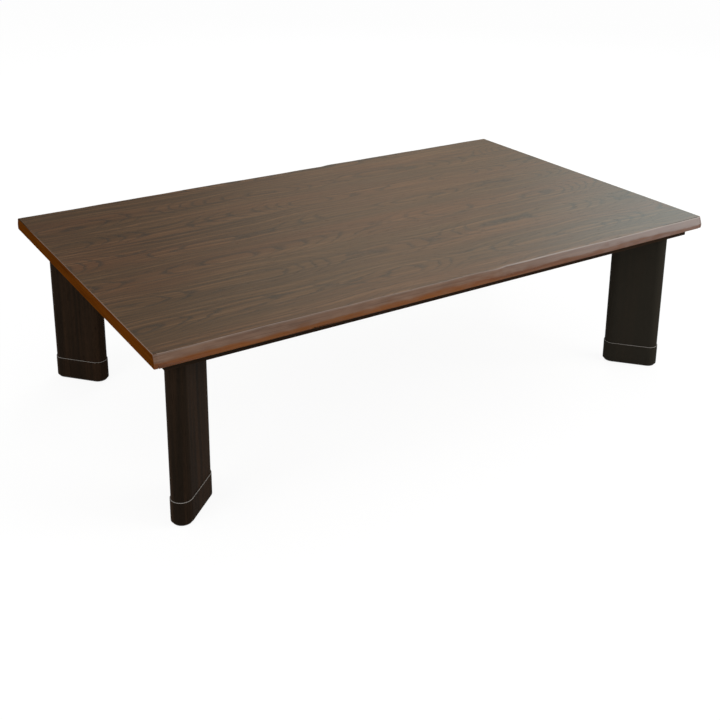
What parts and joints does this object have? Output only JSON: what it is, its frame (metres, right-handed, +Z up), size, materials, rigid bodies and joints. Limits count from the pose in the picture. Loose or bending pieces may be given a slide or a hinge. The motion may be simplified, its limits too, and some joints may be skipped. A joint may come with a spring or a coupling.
{
  "type": "kotatsu table",
  "caption": "Low heated table with a lift-off wooden top on a slim frame, board-shaped legs with extension feet, and a fan heater hung under the middle.",
  "frame": {"origin": "on the floor under the middle of the table", "axes": "+X along the long side, +Y towards the back, +Z up"},
  "size_m": [1.5, 0.9, 0.425],
  "materials": {
    "top_wood": "dark stained veneer, satin",
    "edge_wood": "stained solid wood with carved bevels",
    "core_wood": "particle board",
    "backing": "brown balancing sheet",
    "frame_wood": "near-black lacquer, satin",
    "leg_wood": "near-black brown stain, satin",
    "dowel_wood": "plain beech",
    "zinc_steel": "zinc plated",
    "brass": "turned",
    "pad_plastic": "smooth glide pad",
    "rubber": "soft bumper",
    "case_steel": "galvanised sheet",
    "insulation": "pressed mineral fibre board",
    "black_metal": "matt heat-proof paint",
    "reflector_aluminium": "bright rolled sheet",
    "quartz": "clear quartz",
    "coil_wire": "oxidised resistance wire",
    "ceramic": "unglazed steatite",
    "motor_steel": "plated",
    "fan_aluminium": "stamped sheet",
    "black_plastic": "moulded",
    "pale_plastic": "moulded",
    "lead_rubber": "heat-proof sleeve"
  },
  "bodies": {
    "frame": {"case_screws": "zinc_steel", "corner_block_front_left": "frame_wood", "corner_block_front_right": "frame_wood", "corner_block_rear_left": "frame_wood", "corner_block_rear_right": "frame_wood", "fan_motor": "motor_steel", "foot_bolts": "zinc_steel", "foot_front_left": "leg_wood", "foot_front_right": "leg_wood", "foot_pads": "pad_plastic", "foot_rear_left": "leg_wood", "foot_rear_right": "leg_wood", "frame_dowels": "dowel_wood", "front_apron": "frame_wood", "front_heater_bar": "frame_wood", "guard_bezel": "black_metal", "guard_grille": "black_metal", "guard_screws": "zinc_steel", "heater_case": "case_steel", "heater_reflector": "reflector_aluminium", "heating_coils": "coil_wire", "inlet_pins": "brass", "inlet_socket": "black_plastic", "insulation_board": "insulation", "internal_leads": "lead_rubber", "left_apron": "frame_wood", "left_cross_bar": "frame_wood", "leg_front_left": "leg_wood", "leg_front_right": "leg_wood", "leg_hanger_bolts": "zinc_steel", "leg_inserts": "brass", "leg_nuts": "zinc_steel", "leg_rear_left": "leg_wood", "leg_rear_right": "leg_wood", "leg_washers": "zinc_steel", "motor_screws": "zinc_steel", "quartz_tubes": "quartz", "rear_apron": "frame_wood", "rear_heater_bar": "frame_wood", "right_apron": "frame_wood", "right_cross_bar": "frame_wood", "terminal_block": "pale_plastic", "thermal_fuse": "pale_plastic", "thermostat": "ceramic", "tube_holders": "ceramic", "tube_posts": "brass"},
    "tabletop": {"top_core": "core_wood", "back_sheet": "backing", "face_veneer": "top_wood", "front_lipping": "edge_wood", "rear_lipping": "edge_wood", "left_lipping": "edge_wood", "right_lipping": "edge_wood", "top_bumpers": "rubber"},
    "fan": {"fan_impeller": "fan_aluminium", "fan_shaft": "motor_steel"}
  },
  "joints": [
    {"name": "top_lift", "type": "slide", "parent": "frame", "child": "tabletop", "axis": [0, 0, 1], "range_m": [0, 0.12]},
    {"name": "fan_spin", "type": "hinge", "parent": "frame", "child": "fan", "pos_m": [0, 0, 0.36], "axis": [0, 0, 1], "continuous": true}
  ]
}
